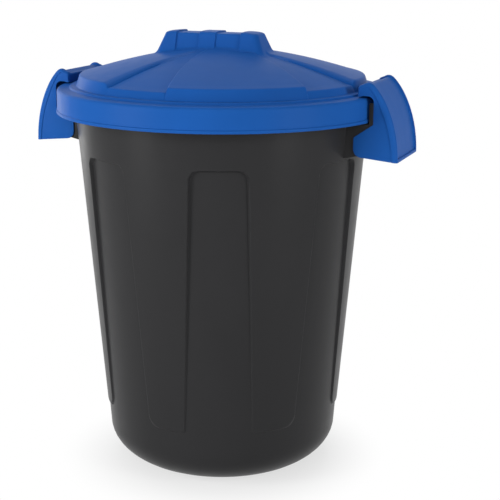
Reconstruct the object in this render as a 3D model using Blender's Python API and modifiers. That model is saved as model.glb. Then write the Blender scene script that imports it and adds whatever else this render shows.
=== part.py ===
"""Round trash can with a domed lift-off lid and two swinging handles that hook over the lid's rim.

Metres, +Z up. The origin is the centre of the base on the floor, and the handles stand on the X axis.
Angles round the can are measured from the front (-Y) towards +X.
"""

import math

import bmesh
import bpy
import numpy as np
from mathutils import Matrix, Vector

COLLECTION = "trash_can"

# How finely round shapes are faceted
TURN_STEPS = 70
ARC_STEPS = 4
BASE_ARC_STEPS = 7
DOME_STEPS = 6
STUB_SIDES = 20
MERGE = 0.00001
SHARP_ANGLE = math.radians(28)
BEVEL_PROFILE = 0.5
BEVEL_SEGMENTS = 2

# Clearances
SEAT_GAP = 0.0003
PIVOT_GAP = 0.0003
SIDE_GAP = 0.0004
OVERRUN = 0.010

# The can's two main sizes: most others are measured in from the lid's rim, and down or up from the mouth
LID_RADIUS = 0.2250
MOUTH_HEIGHT = 0.5248

# Bucket body
WALL = 0.0024
BASE_TURN_RUN = 0.0801
BASE_TURN_HEIGHT = 0.0560
PANEL_LOW_INSET = 0.0649
PANEL_TOP_INSET = 0.0354
PANEL_TOP_DROP = 0.0808

# Pillars between the recessed panels
PANEL_COUNT = 7
PANEL_START = math.radians(21.0)
PILLAR_LOW_RISE = 0.0350
PILLAR_LOW_STEP = 0.0046
PILLAR_TOP_STEP = 0.0051
PILLAR_CHAMFER = 0.0040
PANEL_TOP_WIDTH = 0.0765
PANEL_LOW_WIDTH = 0.0885
PANEL_TOP_CORNER = 0.0130
PANEL_LOW_CORNER = 0.0160

# Bucket rim
RIM_THICKNESS = 0.0026
RIM_LIP_DEPTH = 0.0160
RIM_LIP_THICKNESS = 0.0024

# Lid
LID_WALL = 0.0024
SKIRT_DROP = 0.0295
SKIRT_BEAD = 0.0014
SKIRT_BEAD_HEIGHT = 0.0040
SKIRT_CORNER = 0.0045
LEDGE_RISE = 0.0030
LEDGE_WIDTH = 0.0170
RING_WIDTH = 0.0095
DOME_WALL_RUN = 0.0055
WEDGE_RISE = 0.0087
SECTOR_RISE = 0.0145
SECTOR_PROUD = 0.0008
APEX_RISE = 0.0495
SECTOR_APEX_RISE = 0.0500
WEDGE_POWER = 1.60
SECTOR_POWER = 1.73
SECTOR_TURN = math.radians(27.8)
SIDE_SECTOR_ANGLE = math.radians(67.6)
SIDE_SECTOR_INNER = 0.0300
FRONT_SECTOR_RIM_WIDTH = 0.1770
FRONT_SECTOR_INNER = 0.0300
FRONT_SECTOR_INNER_WIDTH = 0.0480
FRONT_SECTOR_MIDDLE = 0.1170
FRONT_SECTOR_MIDDLE_WIDTH = 0.1340

# Grip on the lid
GRIP_SHIFT = -0.0125
GRIP_LENGTH = 0.1600
GRIP_WIDTH = 0.0580
GRIP_TOP_LENGTH = 0.1310
GRIP_TOP_WIDTH = 0.0380
GRIP_TOP_RISE = 0.0715
GRIP_HEIGHT = 0.0360
GRIP_ROUNDING = 0.0040
GRIP_WALL = 0.0030
GRIP_BAND = 0.0240
GRIP_PANEL = 0.0330
GRIP_PANEL_DEPTH = 0.0016
GRIP_PANEL_RISE = 0.0080

# Handles, drawn in the plane of a cheek: how far out or in from the lid's rim, up or down from its ledge
PIVOT_INSET = 0.0120
PIVOT_DROP = 0.0635
HANDLE_WIDTH = 0.1088
CHEEK_THICKNESS = 0.0025
HANDLE_WALL = 0.0026
FOOT_OUT = 0.0350
FOOT_DROP = 0.0811
FOOT_RISE = 0.0055
BELLY_OUT = 0.0355
BELLY_DROP = 0.0375
BROW_OUT = 0.0190
BROW_DROP = 0.0005
CROWN_OUT = 0.0015
CROWN_RISE = 0.0165
CROWN_TOP_INSET = 0.0040
CROWN_TOP_RISE = 0.0213
CROWN_END_INSET = 0.0115
CROWN_END_RISE = 0.0178
HOOK_OVERLAP = 0.0006
HOOK_SHOULDER_RISE = 0.0150
HOOK_SHOULDER_RADIUS = 0.0055
HOOK_THICKNESS = 0.0040
HOOK_LIFT = 0.0014
NOTCH_OUT = 0.0024
NOTCH_RISE = 0.0025
NOTCH_RADIUS = 0.0080
NOTCH_FOOT_DROP = 0.0335
LOBE_RADIUS = 0.0115
LOBE_TOP_INSET = 0.0230
LOBE_TOP_DROP = 0.0510
LOBE_CORNER = 0.0030
BORDER_WIDTH = 0.0045
BORDER_DEPTH = 0.0012
BORDER_FOOT = 0.0035

# Pivots and the bucket's brackets
STUB_RADIUS = 0.0050
STUB_REACH = 0.0010
EAR_THICKNESS = 0.0030
EAR_NOSE_RADIUS = 0.0105
EAR_SKIRT_GAP = 0.0014
EAR_DROP = 0.0065
EAR_STEP_DROP = 0.0455
EAR_ROOT_DROP = 0.0795
WEB_GAP = 0.0010
WEB_THICKNESS = 0.0024
SHELF_THICKNESS = 0.0026

# Surfaces: colours as Blender's shaders take them, and roughness
CHARCOAL = (0.036, 0.036, 0.037)
BLUE = (0.020, 0.098, 0.395)
BODY_ROUGHNESS = 0.42
BLUE_ROUGHNESS = 0.36


# Sizes that follow from the ones above
PANEL_LOW_RADIUS = LID_RADIUS - PANEL_LOW_INSET
PANEL_TOP_RADIUS = LID_RADIUS - PANEL_TOP_INSET
PANEL_TOP_HEIGHT = MOUTH_HEIGHT - PANEL_TOP_DROP
FOOT_RADIUS = PANEL_LOW_RADIUS - BASE_TURN_RUN
PILLAR_LOW_HEIGHT = BASE_TURN_HEIGHT + PILLAR_LOW_RISE
PILLAR_LOW_RADIUS = PANEL_LOW_RADIUS + PILLAR_LOW_STEP
PILLAR_TOP_RADIUS = PANEL_TOP_RADIUS + PILLAR_TOP_STEP
PANEL_TAPER = (PANEL_TOP_RADIUS - PANEL_LOW_RADIUS) / (PANEL_TOP_HEIGHT - BASE_TURN_HEIGHT)
PILLAR_TAPER = (PILLAR_TOP_RADIUS - PILLAR_LOW_RADIUS) / (PANEL_TOP_HEIGHT - PILLAR_LOW_HEIGHT)
SKIRT_RADIUS = LID_RADIUS - SKIRT_BEAD
SKIRT_BOTTOM = MOUTH_HEIGHT - SKIRT_DROP
LEDGE_HEIGHT = MOUTH_HEIGHT + SEAT_GAP + LID_WALL
RING_HEIGHT = LEDGE_HEIGHT + LEDGE_RISE
RING_RADIUS = SKIRT_RADIUS - LEDGE_WIDTH
DOME_FOOT_RADIUS = RING_RADIUS - RING_WIDTH
DOME_RADIUS = DOME_FOOT_RADIUS - DOME_WALL_RUN
RIM_RADIUS = SKIRT_RADIUS - LID_WALL - SEAT_GAP - SIDE_GAP
GRIP_TOP_HEIGHT = RING_HEIGHT + GRIP_TOP_RISE
GRIP_BASE_HEIGHT = GRIP_TOP_HEIGHT - GRIP_HEIGHT
GRIP_PANEL_FOOT = GRIP_BASE_HEIGHT + GRIP_PANEL_RISE
PIVOT_REACH = LID_RADIUS - PIVOT_INSET
PIVOT_HEIGHT = LEDGE_HEIGHT - PIVOT_DROP
FOOT_REACH = LID_RADIUS + FOOT_OUT
FOOT_HEIGHT = LEDGE_HEIGHT - FOOT_DROP
BELLY_REACH = LID_RADIUS + BELLY_OUT
BELLY_HEIGHT = LEDGE_HEIGHT - BELLY_DROP
BROW_REACH = LID_RADIUS + BROW_OUT
BROW_HEIGHT = LEDGE_HEIGHT - BROW_DROP
CROWN_REACH = LID_RADIUS + CROWN_OUT
CROWN_HEIGHT = LEDGE_HEIGHT + CROWN_RISE
CROWN_TOP_REACH = LID_RADIUS - CROWN_TOP_INSET
CROWN_TOP_HEIGHT = LEDGE_HEIGHT + CROWN_TOP_RISE
CROWN_END_REACH = LID_RADIUS - CROWN_END_INSET
CROWN_END_HEIGHT = LEDGE_HEIGHT + CROWN_END_RISE
HOOK_REACH = RING_RADIUS - HOOK_OVERLAP
HOOK_SHOULDER_HEIGHT = LEDGE_HEIGHT + HOOK_SHOULDER_RISE
NOTCH_REACH = LID_RADIUS + NOTCH_OUT
NOTCH_HEIGHT = LEDGE_HEIGHT + NOTCH_RISE
NOTCH_FOOT_HEIGHT = LEDGE_HEIGHT - NOTCH_FOOT_DROP
LOBE_TOP_REACH = LID_RADIUS - LOBE_TOP_INSET
LOBE_TOP_HEIGHT = LEDGE_HEIGHT - LOBE_TOP_DROP
EAR_HEIGHT = LEDGE_HEIGHT - EAR_DROP
EAR_STEP_HEIGHT = LEDGE_HEIGHT - EAR_STEP_DROP
EAR_ROOT_HEIGHT = LEDGE_HEIGHT - EAR_ROOT_DROP
EAR_OUTER_REACH = LID_RADIUS + WEB_GAP + WEB_THICKNESS
CHEEK_INNER = HANDLE_WIDTH / 2 - CHEEK_THICKNESS
EAR_OUTER_FACE = CHEEK_INNER - SIDE_GAP
EAR_INNER_FACE = EAR_OUTER_FACE - EAR_THICKNESS


def panel_radius(height):
    """Outer radius of the body at the level of its recessed panels."""
    return PANEL_TOP_RADIUS + (height - PANEL_TOP_HEIGHT) * PANEL_TAPER


def pillar_radius(height):
    """Outer radius of the body over its pillars and above the panels."""
    return PILLAR_TOP_RADIUS + (height - PANEL_TOP_HEIGHT) * PILLAR_TAPER


def wedge_height(radius):
    """Height of the lid's dome in the low wedges."""
    drop = APEX_RISE - WEDGE_RISE
    return RING_HEIGHT + APEX_RISE - drop * (radius / DOME_RADIUS) ** WEDGE_POWER


def sector_height(radius):
    """Height of the lid's dome over the raised sectors."""
    drop = SECTOR_APEX_RISE - SECTOR_RISE
    return RING_HEIGHT + SECTOR_APEX_RISE - drop * (radius / DOME_RADIUS) ** SECTOR_POWER


# Plane outlines

def arc(centre, radius, start, end, steps):
    """Points along an arc, from one angle to the other."""
    angles = np.linspace(start, end, steps + 1)
    return [(centre[0] + radius * math.cos(a), centre[1] + radius * math.sin(a)) for a in angles]


def bezier(start, first, second, end, steps):
    """Points along a cubic curve, both ends included."""
    points = []
    for t in np.linspace(0, 1, steps + 1):
        weights = ((1 - t) ** 3, 3 * t * (1 - t) ** 2, 3 * t * t * (1 - t), t ** 3)
        corners = (start, first, second, end)
        points.append(tuple(sum(w * c[i] for w, c in zip(weights, corners)) for i in (0, 1)))
    return points


def rounded(corners, steps=ARC_STEPS):
    """A closed outline of (x, y, radius) corners, each corner with a radius turned into an arc."""
    points = []
    for index, (x, y, radius) in enumerate(corners):
        here = Vector((x, y))
        if not radius:
            points.append((x, y))
            continue
        before = (Vector(corners[index - 1][:2]) - here).normalized()
        after = (Vector(corners[(index + 1) % len(corners)][:2]) - here).normalized()
        half = before.angle(after) / 2
        centre = here + (before + after).normalized() * (radius / math.sin(half))
        first = here + before * (radius / math.tan(half)) - centre
        turn = first.angle_signed(here + after * (radius / math.tan(half)) - centre)
        for share in np.linspace(0, 1, steps + 1):
            spoke = first.copy()
            spoke.rotate(Matrix.Rotation(-turn * share, 2))
            points.append(tuple(centre + spoke))
    return points


def offset(points, distance):
    """The open outline moved to its left by the distance, with mitred corners."""
    moved = []
    spots = [Vector(p) for p in points]
    for index, spot in enumerate(spots):
        sides = []
        if index > 0:
            sides.append((spot - spots[index - 1]).normalized())
        if index < len(spots) - 1:
            sides.append((spots[index + 1] - spot).normalized())
        along = sum(sides, Vector((0, 0))).normalized()
        left = Vector((-along.y, along.x))
        moved.append(tuple(spot + left * (distance / along.dot(sides[0]))))
    return moved


# Scene set-up

def clear_scene():
    for item in list(bpy.data.objects):
        bpy.data.objects.remove(item, do_unlink=True)


def new_collection(name, hidden=False):
    made = bpy.data.collections.new(name)
    bpy.context.scene.collection.children.link(made)
    made.hide_render = hidden
    return made


def plastic(name, colour, roughness):
    made = bpy.data.materials.new(name)
    made.use_nodes = True
    shader = made.node_tree.nodes["Principled BSDF"]
    shader.inputs["Base Color"].default_value = (*colour, 1)
    shader.inputs["Roughness"].default_value = roughness
    shader.inputs["Metallic"].default_value = 0
    made.diffuse_color = (*colour, 1)
    return made


# Solids

class Shop:
    """Makes objects in the two collections."""

    def __init__(self):
        self.parts = new_collection(COLLECTION)
        self.cutters = new_collection(COLLECTION + "_cutters", hidden=True)

    def place(self, name, mesh, part=False):
        made = bpy.data.objects.new(name, mesh)
        (self.parts if part else self.cutters).objects.link(made)
        if not part:
            made.hide_render = True
            made.display_type = "WIRE"
        return made

    def turned(self, name, profile, part=False):
        """A solid turned round Z from a profile that runs from the axis at its top to the axis at its foot,
        or, where it starts off the axis, from a closed profile that runs down its outer side."""
        mesh = bpy.data.meshes.new(name)
        ring = profile[0][0] > 0
        edges = [(i, (i + 1) % len(profile)) for i in range(len(profile) - (not ring))]
        mesh.from_pydata([(x, 0, z) for x, z in profile], edges, [])
        made = self.place(name, mesh, part)
        screw = made.modifiers.new("turn", "SCREW")
        screw.steps = TURN_STEPS
        screw.render_steps = TURN_STEPS
        screw.use_merge_vertices = True
        screw.merge_threshold = MERGE
        screw.use_smooth_shade = True
        return made

    def extruded(self, name, outline, low, high, frame):
        """A solid whose flat outline is drawn on the frame's X and Y, from low to high along its Z."""
        curve = bpy.data.curves.new(name, "CURVE")
        curve.dimensions = "2D"
        curve.fill_mode = "BOTH"
        curve.extrude = (high - low) / 2
        spline = curve.splines.new("POLY")
        spline.points.add(len(outline) - 1)
        for point, spot in zip(spline.points, outline):
            point.co = (*spot, 0, 1)
        spline.use_cyclic_u = True
        drawn = bpy.data.objects.new(name + "_outline", curve)
        self.cutters.objects.link(drawn)
        graph = bpy.context.evaluated_depsgraph_get()
        mesh = bpy.data.meshes.new_from_object(drawn.evaluated_get(graph))
        bpy.data.objects.remove(drawn)
        solid = bmesh.new()
        solid.from_mesh(mesh)
        bmesh.ops.remove_doubles(solid, verts=solid.verts, dist=MERGE)
        bmesh.ops.recalc_face_normals(solid, faces=solid.faces)
        solid.transform(frame @ Matrix.Translation((0, 0, (high + low) / 2)))
        solid.to_mesh(mesh)
        solid.free()
        mesh.name = name
        return self.place(name, mesh)

    def tapered_box(self, name, foot, top, low, high, centre, rounding):
        """A box with a wide foot and a narrower top, its upright and top edges rounded."""
        solid = bmesh.new()
        bmesh.ops.create_cube(solid, size=1)
        for vert in solid.verts:
            size = top if vert.co.z > 0 else foot
            vert.co.x = centre + vert.co.x * size[0]
            vert.co.y = vert.co.y * size[1]
            vert.co.z = high if vert.co.z > 0 else low
        edges = [e for e in solid.edges if max(v.co.z for v in e.verts) > low + MERGE]
        if rounding:
            bmesh.ops.bevel(
                solid, geom=edges, offset=rounding, offset_type="OFFSET",
                segments=BEVEL_SEGMENTS, profile=BEVEL_PROFILE, affect="EDGES", material=-1)
        mesh = bpy.data.meshes.new(name)
        solid.to_mesh(mesh)
        solid.free()
        return self.place(name, mesh)

    def rod(self, name, radius, low, high):
        """A cylinder on the pivot's axis, from one Y to the other, in the handle's own frame."""
        solid = bmesh.new()
        bmesh.ops.create_cone(
            solid, cap_ends=True, segments=STUB_SIDES, radius1=radius, radius2=radius,
            depth=high - low)
        solid.transform(
            Matrix.Translation((0, (high + low) / 2, 0)) @ Matrix.Rotation(math.pi / 2, 4, "X"))
        mesh = bpy.data.meshes.new(name)
        solid.to_mesh(mesh)
        solid.free()
        return self.place(name, mesh)


def combine(target, operation, others, solver="EXACT"):
    for other in others:
        step = target.modifiers.new(operation.lower() + "_" + other.name, "BOOLEAN")
        step.operation = operation
        step.object = other
        step.solver = solver


def finish(part, material):
    """Turns the part's modifiers into its mesh, in one material, smooth except at its corners."""
    graph = bpy.context.evaluated_depsgraph_get()
    mesh = bpy.data.meshes.new_from_object(part.evaluated_get(graph))
    part.modifiers.clear()
    part.data = mesh
    mesh.name = part.name
    mesh.materials.clear()
    mesh.materials.append(material)
    mesh.shade_smooth()
    mesh.set_sharp_from_angle(angle=SHARP_ANGLE)
    return part


# Frames for flat outlines

def upright_frame(turn):
    """Outline X runs round the can, outline Y up, and the depth outwards at this angle from the front."""
    out = Vector((math.sin(turn), -math.cos(turn), 0))
    round_can = Vector((math.cos(turn), math.sin(turn), 0))
    up = Vector((0, 0, 1))
    return Matrix((round_can, up, out)).transposed().to_4x4()


def cheek_frame():
    """Outline X runs out from the can's axis, outline Y up, and the depth along -Y."""
    return Matrix.Rotation(math.pi / 2, 4, "X")


# Bucket

def body_profile(inset):
    """The body at panel level, from its top on the axis down to the centre of its base."""
    foot_centre = (FOOT_RADIUS, BASE_TURN_HEIGHT)
    run = PANEL_LOW_RADIUS - FOOT_RADIUS
    angles = np.linspace(0, -math.pi / 2, BASE_ARC_STEPS + 1)
    turn = [
        (foot_centre[0] + run * math.cos(a), foot_centre[1] + BASE_TURN_HEIGHT * math.sin(a))
        for a in angles
    ]
    top = MOUTH_HEIGHT - RIM_LIP_DEPTH
    side = [(panel_radius(top), top)] + turn + [(0, 0)]
    if inset:
        side = offset(side, -inset)
    return [(0, side[0][1])] + side


def rim_line():
    """The rim seen in section: a flange at the mouth, a lip turned down, and back in to the wall."""
    under = MOUTH_HEIGHT - RIM_THICKNESS
    lip = MOUTH_HEIGHT - RIM_LIP_DEPTH
    return [
        (RIM_RADIUS - RIM_LIP_THICKNESS / 2, MOUTH_HEIGHT),
        (RIM_RADIUS, MOUTH_HEIGHT - RIM_LIP_THICKNESS / 2),
        (RIM_RADIUS, lip),
        (RIM_RADIUS - RIM_LIP_THICKNESS, lip),
        (RIM_RADIUS - RIM_LIP_THICKNESS, under),
        (pillar_radius(under), under),
    ]


def pillar_profile(inset):
    """The pillars' cone from the mouth down to where it fades into the panels' level."""
    low = PILLAR_LOW_HEIGHT
    step = pillar_radius(low) - panel_radius(low)
    side = [
        (pillar_radius(low), low),
        (pillar_radius(low) - 2 * step, low - 2 * PILLAR_CHAMFER),
        (pillar_radius(low) - 2 * step - OVERRUN, low - 2 * PILLAR_CHAMFER),
    ]
    if inset:
        above = MOUTH_HEIGHT + OVERRUN
        side = offset([(pillar_radius(above), above)] + side, -inset)
    else:
        side = rim_line() + side
    return [(0, side[0][1])] + side + [(0, side[-1][1])]


def panel_outline(grow):
    """A recessed panel seen from outside: it narrows upwards, and flares at its foot round the pillars."""
    top = PANEL_TOP_HEIGHT + grow
    half_top = PANEL_TOP_WIDTH / 2 + grow
    half_low = PANEL_LOW_WIDTH / 2 + grow
    corner = PANEL_LOW_CORNER - grow
    foot = PILLAR_LOW_HEIGHT - 2 * PILLAR_CHAMFER - OVERRUN
    flare = PILLAR_LOW_HEIGHT + grow
    right = rounded([
        (half_top, top, PANEL_TOP_CORNER + grow),
        (half_low, flare, 0),
        (0, flare, 0),
        (0, top, 0),
    ])[:ARC_STEPS + 1]
    right += arc((half_low + corner, flare + corner), corner, math.pi, math.pi * 1.5, ARC_STEPS)
    right += [(half_low + corner, foot)]
    return right + [(-x, y) for x, y in reversed(right)]


def make_pillars(shop, name, inset):
    """The pillar cone with its panels cut away, moved inwards by the inset."""
    cone = shop.turned(name, pillar_profile(inset))
    for index in range(PANEL_COUNT):
        turn = PANEL_START + index * math.tau / PANEL_COUNT
        panel = shop.extruded(
            f"{name}_panel_{index + 1}", panel_outline(inset), FOOT_RADIUS, LID_RADIUS, upright_frame(turn))
        combine(cone, "DIFFERENCE", [panel])
    return cone


def bracket_root():
    """How far out the bracket starts, inside the wall even at the ears' outer faces."""
    return math.sqrt((pillar_radius(EAR_ROOT_HEIGHT) - WALL) ** 2 - EAR_OUTER_FACE ** 2)


def ear_outline():
    """An ear from the wall out under the skirt, up outside it, and down to a nose round the pivot."""
    shelf = SKIRT_BOTTOM - EAR_SKIRT_GAP
    inner = math.sqrt(LID_RADIUS ** 2 - EAR_INNER_FACE ** 2) + EAR_SKIRT_GAP
    nose = arc((PIVOT_REACH, PIVOT_HEIGHT), EAR_NOSE_RADIUS, 0, -math.pi / 2, ARC_STEPS)
    return [
        (bracket_root(), shelf),
        (inner, shelf),
        (inner, EAR_HEIGHT),
        (EAR_OUTER_REACH, EAR_HEIGHT),
        (EAR_OUTER_REACH, EAR_STEP_HEIGHT),
    ] + nose + [(bracket_root(), EAR_ROOT_HEIGHT)]


def web_outline():
    """The shelf under the skirt and the web that stands outside it, seen along Y."""
    shelf = SKIRT_BOTTOM - EAR_SKIRT_GAP
    inner = EAR_OUTER_REACH - WEB_THICKNESS
    return [
        (bracket_root(), shelf),
        (inner, shelf),
        (inner, EAR_HEIGHT),
        (EAR_OUTER_REACH, EAR_HEIGHT),
        (EAR_OUTER_REACH, shelf - SHELF_THICKNESS),
        (bracket_root(), shelf - SHELF_THICKNESS),
    ]


def make_bracket(shop, name, turn):
    """Two ears and the web between them, as one solid on the +X side, turned into place."""
    frame = Matrix.Rotation(turn, 4, "Z") @ cheek_frame()
    web = shop.extruded(name, web_outline(), -EAR_OUTER_FACE + EAR_THICKNESS / 2,
                        EAR_OUTER_FACE - EAR_THICKNESS / 2, frame)
    for side in (-1, 1):
        faces = sorted((side * EAR_INNER_FACE, side * EAR_OUTER_FACE))
        ear = shop.extruded(f"{name}_ear_{'back' if side < 0 else 'front'}", ear_outline(), *faces, frame)
        combine(web, "UNION", [ear])
    hole = shop.rod(name + "_hole", STUB_RADIUS + PIVOT_GAP, -HANDLE_WIDTH / 2, HANDLE_WIDTH / 2)
    hole.matrix_world = Matrix.Rotation(turn, 4, "Z") @ Matrix.Translation((PIVOT_REACH, 0, PIVOT_HEIGHT))
    combine(web, "DIFFERENCE", [hole])
    return web


def make_bucket(shop, material):
    bucket = shop.turned("bucket", body_profile(0), part=True)
    pillars = make_pillars(shop, "pillars", 0)
    hollow = shop.turned("hollow", body_profile(WALL))
    combine(hollow, "UNION", [make_pillars(shop, "hollow_pillars", WALL)])
    brackets = [make_bracket(shop, "bracket_right", 0), make_bracket(shop, "bracket_left", math.pi)]
    combine(bucket, "UNION", [pillars, *brackets])
    combine(bucket, "DIFFERENCE", [hollow])
    return finish(bucket, material)


# Lid

def dome(height_at):
    """The dome from the axis out to its shoulder."""
    radii = np.linspace(0, DOME_RADIUS, DOME_STEPS + 1)
    return [(r, height_at(r)) for r in radii]


def lid_line():
    """The lid's outer line in its low wedges, from the dome's centre out to the skirt's rounded corner."""
    corner = arc((SKIRT_RADIUS - SKIRT_CORNER, LEDGE_HEIGHT - SKIRT_CORNER),
                 SKIRT_CORNER, math.pi / 2, 0, ARC_STEPS)
    return dome(wedge_height) + [
        (DOME_FOOT_RADIUS, RING_HEIGHT),
        (RING_RADIUS - LEDGE_RISE / 2, RING_HEIGHT),
        (RING_RADIUS, LEDGE_HEIGHT),
    ] + corner


def lid_profile():
    """The lid as a full solid, with the bead at its skirt's foot."""
    bead = SKIRT_BOTTOM + SKIRT_BEAD_HEIGHT
    return lid_line() + [
        (SKIRT_RADIUS, bead),
        (LID_RADIUS, bead - SKIRT_BEAD),
        (LID_RADIUS, SKIRT_BOTTOM + SKIRT_BEAD / 2),
        (LID_RADIUS - SKIRT_BEAD / 2, SKIRT_BOTTOM),
        (0, SKIRT_BOTTOM),
    ]


def lid_hollow_profile():
    """The hollow under the lid's wedges, one wall thinner and open below the skirt."""
    side = offset(lid_line() + [(SKIRT_RADIUS, SKIRT_BOTTOM - OVERRUN)], -LID_WALL)
    side[0] = (0, side[0][1])
    return side + [(0, side[-1][1])]


def sector_profile(inset):
    """The raised sectors' level, from the dome's centre out and down to below the ring."""
    foot = DOME_FOOT_RADIUS + SECTOR_PROUD
    side = dome(sector_height) + [(foot, RING_HEIGHT - SECTOR_PROUD), (foot, LEDGE_HEIGHT)]
    if inset:
        side = offset(side, -inset)
        side[0] = (0, side[0][1])
    low = SKIRT_BOTTOM + SKIRT_BEAD_HEIGHT + inset
    return side + [(side[-1][0], low), (0, low)]


def side_sector_outline(shrink):
    """The plan of a sector on +X with straight radial edges."""
    half = SIDE_SECTOR_ANGLE / 2
    edge = Vector((math.cos(half), math.sin(half)))
    across = Vector((edge.y, -edge.x))
    near = edge * SIDE_SECTOR_INNER + across * shrink
    far = edge * LID_RADIUS + across * shrink
    points = [(near.x, near.y), (far.x, far.y)]
    return [(x, -y) for x, y in points] + points[::-1]


def front_sector_outline(shrink):
    """The plan of a sector on +X whose edges bow outwards from the centre to the rim."""
    stations = (
        (FRONT_SECTOR_INNER, FRONT_SECTOR_INNER_WIDTH),
        (FRONT_SECTOR_MIDDLE, FRONT_SECTOR_MIDDLE_WIDTH),
        (DOME_RADIUS, FRONT_SECTOR_RIM_WIDTH),
        (LID_RADIUS, FRONT_SECTOR_RIM_WIDTH),
    )
    points = [(reach, width / 2 - shrink) for reach, width in stations]
    return [(x, -y) for x, y in points] + points[::-1]


def make_sectors(shop, name, inset):
    """The raised level of the dome, cut to its four sectors."""
    raised = shop.turned(name, sector_profile(inset))
    plan = None
    outlines = (front_sector_outline, side_sector_outline, front_sector_outline, side_sector_outline)
    for index, outline in enumerate(outlines):
        turn = SECTOR_TURN + (index - 1) * math.pi / 2
        sector = shop.extruded(
            f"{name}_sector_{index + 1}", outline(inset), SKIRT_BOTTOM, GRIP_TOP_HEIGHT,
            Matrix.Rotation(turn, 4, "Z"))
        if plan is None:
            plan = sector
        else:
            combine(plan, "UNION", [sector])
    combine(raised, "INTERSECT", [plan])
    return raised


def make_grip(shop, name, inset, low):
    """The grip's block along X, or the hollow under it."""
    return shop.tapered_box(
        name,
        (GRIP_LENGTH - 2 * inset, GRIP_WIDTH - 2 * inset),
        (GRIP_TOP_LENGTH - 2 * inset, GRIP_TOP_WIDTH - 2 * inset),
        low, GRIP_TOP_HEIGHT - inset, GRIP_SHIFT, GRIP_ROUNDING - inset)


def make_finger_panels(shop):
    """Two shallow panels that wrap over the grip, one on each side of its middle band."""
    panels = []
    core = make_grip(shop, "grip_core", GRIP_PANEL_DEPTH, GRIP_BASE_HEIGHT)
    for side, name in ((-1, "left"), (1, "right")):
        centre = GRIP_SHIFT + side * (GRIP_BAND + GRIP_PANEL) / 2
        size = (GRIP_PANEL, GRIP_LENGTH)
        panel = shop.tapered_box(
            "finger_panel_" + name, size, size, GRIP_PANEL_FOOT, GRIP_TOP_HEIGHT + OVERRUN, centre, 0)
        combine(panel, "DIFFERENCE", [core])
        panels.append(panel)
    return panels


def make_lid(shop, material):
    lid = shop.turned("lid", lid_profile(), part=True)
    hollow = shop.turned("lid_hollow", lid_hollow_profile())
    grip = make_grip(shop, "grip", 0, GRIP_BASE_HEIGHT)
    combine(grip, "DIFFERENCE", make_finger_panels(shop))
    raised = [make_sectors(shop, "sectors", 0), grip]
    hollows = [
        make_sectors(shop, "hollow_sectors", LID_WALL),
        make_grip(shop, "grip_hollow", GRIP_WALL, GRIP_BASE_HEIGHT - OVERRUN),
    ]
    # EXACT leaves open edges where the grip's walls run into the dome, so the lid is joined with MANIFOLD.
    combine(hollow, "UNION", hollows, "MANIFOLD")
    combine(lid, "UNION", raised, "MANIFOLD")
    combine(lid, "DIFFERENCE", [hollow], "MANIFOLD")
    return finish(lid, material)


# Handles

def handle_back():
    """The handle's outer line, from its foot up over the crown to the hook's shoulder."""
    line = bezier((FOOT_REACH, FOOT_HEIGHT), (BELLY_REACH, BELLY_HEIGHT),
                  (BROW_REACH, BROW_HEIGHT), (CROWN_REACH, CROWN_HEIGHT), 2 * ARC_STEPS)
    crown = bezier((CROWN_REACH, CROWN_HEIGHT), (CROWN_TOP_REACH, CROWN_TOP_HEIGHT),
                   (CROWN_TOP_REACH, CROWN_TOP_HEIGHT), (CROWN_END_REACH, CROWN_END_HEIGHT), ARC_STEPS)
    return line + crown[1:]


def handle_outline():
    hook_foot = LEDGE_HEIGHT + HOOK_LIFT
    corners = [(x, z, 0) for x, z in handle_back()] + [
        (HOOK_REACH, HOOK_SHOULDER_HEIGHT, HOOK_SHOULDER_RADIUS),
        (HOOK_REACH, hook_foot, 0),
        (HOOK_REACH + HOOK_THICKNESS, hook_foot, 0),
        (HOOK_REACH + 2 * HOOK_THICKNESS, NOTCH_HEIGHT, 0),
        (NOTCH_REACH, NOTCH_HEIGHT, NOTCH_RADIUS),
        (NOTCH_REACH, NOTCH_FOOT_HEIGHT, LOBE_CORNER),
        (LOBE_TOP_REACH, LOBE_TOP_HEIGHT, LOBE_CORNER),
        (PIVOT_REACH - LOBE_RADIUS, FOOT_HEIGHT + FOOT_RISE, LOBE_RADIUS),
    ]
    return [(x - PIVOT_REACH, z - PIVOT_HEIGHT) for x, z in rounded(corners)]


def scoop_outline():
    """The hollow behind the handle, open inwards and downwards."""
    skin = offset(handle_back(), HANDLE_WALL)
    foot = FOOT_HEIGHT - OVERRUN
    hook_foot = LEDGE_HEIGHT + HOOK_LIFT - OVERRUN
    inner = HOOK_REACH + HOOK_THICKNESS
    skin = [p for p in skin if p[0] > inner]
    line = [(skin[0][0], foot)] + skin + [
        (inner, skin[-1][1]),
        (inner, hook_foot),
        (PIVOT_REACH - LOBE_RADIUS - OVERRUN, hook_foot),
        (PIVOT_REACH - LOBE_RADIUS - OVERRUN, foot),
    ]
    return [(x - PIVOT_REACH, z - PIVOT_HEIGHT) for x, z in line]


def border_outline():
    """The shallow panel that leaves a raised border along the handle's edges and foot."""
    hook = HOOK_REACH + HOOK_THICKNESS
    back = [p for p in handle_back() if p[1] > FOOT_HEIGHT + BORDER_FOOT and p[0] > hook]
    start = (FOOT_REACH, FOOT_HEIGHT + BORDER_FOOT)
    back = [start] + back
    deep = offset(back, BORDER_DEPTH)
    clear = offset(back, -OVERRUN / 2)
    return [(x - PIVOT_REACH, z - PIVOT_HEIGHT) for x, z in deep + clear[::-1]]


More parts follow.
